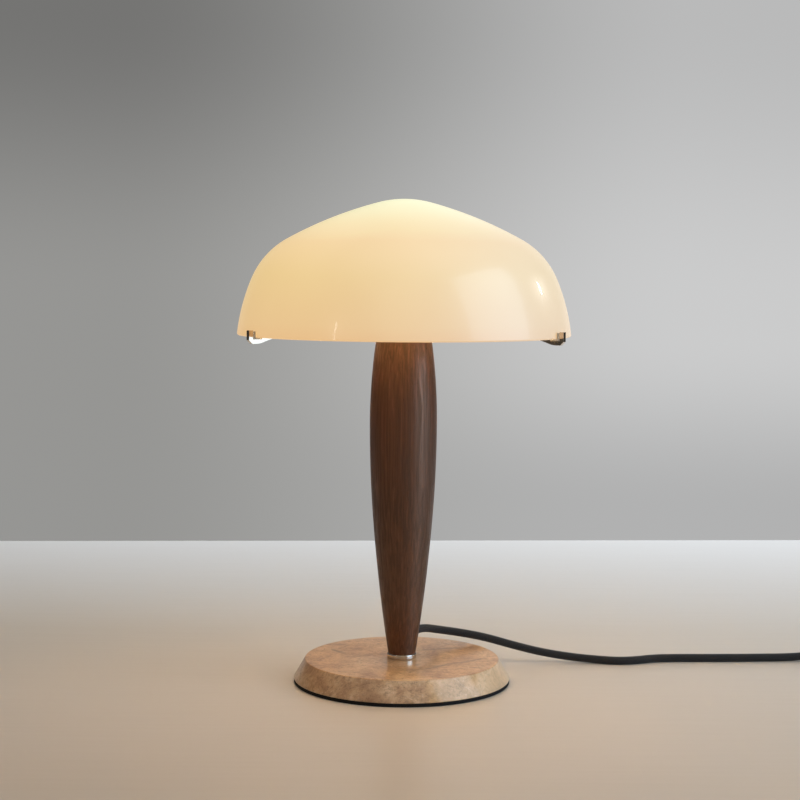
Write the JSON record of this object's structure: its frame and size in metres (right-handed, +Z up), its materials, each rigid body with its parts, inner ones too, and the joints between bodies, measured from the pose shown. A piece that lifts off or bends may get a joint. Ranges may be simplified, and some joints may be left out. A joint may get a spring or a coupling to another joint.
{
  "type": "mushroom table lamp",
  "caption": "Table lamp with a domed opal glass shade resting on metal claws, a turned walnut stem, a round stone foot and a textile cord with switch and plug.",
  "frame": {"origin": "on the table, at the middle of the pad under the foot", "axes": "+Z up along the stem, -Y towards the front, +X to the side on which the cord leaves"},
  "size_m": [0.6442, 0.2865, 0.4091],
  "materials": {
    "pad_rubber": "matt black",
    "polished_stone": "polished beige stone with cloudy veins",
    "plated_steel": "zinc plated",
    "polished_nickel": "polished",
    "nickel_screws": "polished",
    "walnut": "dark walnut, satin lacquer",
    "black_moulding": "satin black",
    "clear_silicone": "translucent",
    "opal_glass": "glossy opal",
    "holder_plastic": "white, slight gloss",
    "steatite": "unglazed",
    "contact_brass": "plain",
    "bulb_cap_metal": "nickel plated",
    "bulb_insulator_glass": "black glass",
    "bulb_housing_plastic": "white",
    "bulb_board": "white lacquered board",
    "bulb_opal": "opal",
    "switch_plastic": "black",
    "rocker_plastic": "black",
    "switch_metal": "zinc plated",
    "plug_plastic": "black",
    "plug_pin_metal": "nickel plated",
    "cord_textile": "braided charcoal textile over a round cable",
    "core_brown": "brown insulation",
    "core_blue": "blue insulation"
  },
  "bodies": {
    "lamp": {"base_pad": "pad_rubber", "base_stone": "polished_stone", "base_washer": "plated_steel", "base_spring_washer": "plated_steel", "base_nut": "plated_steel", "hub_nut": "plated_steel", "tie_tube": "plated_steel", "stem_ring": "polished_nickel", "hub_plate": "polished_nickel", "claw_arm_rear": "polished_nickel", "claw_arm_left": "polished_nickel", "claw_arm_right": "polished_nickel", "arm_screws": "nickel_screws", "stem": "walnut", "cord_relief": "black_moulding", "plug_sleeve": "black_moulding", "rim_saddles": "clear_silicone", "holder_cap": "holder_plastic", "holder_skirt": "holder_plastic", "holder_insert": "steatite", "holder_shell": "contact_brass", "holder_contact": "contact_brass", "holder_terminals": "contact_brass", "switch_contacts": "contact_brass", "switch_leaf": "contact_brass", "switch_base": "switch_plastic", "switch_cover": "switch_plastic", "rocker_pin": "switch_metal", "switch_screws": "switch_metal", "plug_body": "plug_plastic", "plug_pin_sleeves": "plug_plastic", "plug_pins": "plug_pin_metal", "cord_lead": "cord_textile", "cord_link": "cord_textile", "cord_coil": "cord_textile", "cord_tail": "cord_textile", "core_live": "core_brown", "core_neutral": "core_blue"},
    "shade": {"shade_glass": "opal_glass"},
    "bulb": {"bulb_tip_contact": "bulb_cap_metal", "bulb_insulator": "bulb_insulator_glass", "bulb_screw_cap": "bulb_cap_metal", "bulb_housing": "bulb_housing_plastic", "bulb_driver": "bulb_board", "bulb_light_board": "bulb_board", "bulb_globe": "bulb_opal"},
    "rocker": {"switch_rocker": "rocker_plastic"}
  },
  "joints": [
    {"name": "shade_lift", "type": "slide", "parent": "lamp", "child": "shade", "axis": [0, 0, 1], "range_m": [0, 0.12]},
    {"name": "bulb_turn", "type": "hinge", "parent": "lamp", "child": "bulb", "pos_m": [0, 0, 0.33], "axis": [0, 0, 1], "range_deg": [0, 900]},
    {"name": "rocker_tilt", "type": "hinge", "parent": "lamp", "child": "rocker", "pos_m": [0.417, 0.083, 0.012], "axis": [0, -1, 0], "range_deg": [0, 16]}
  ]
}
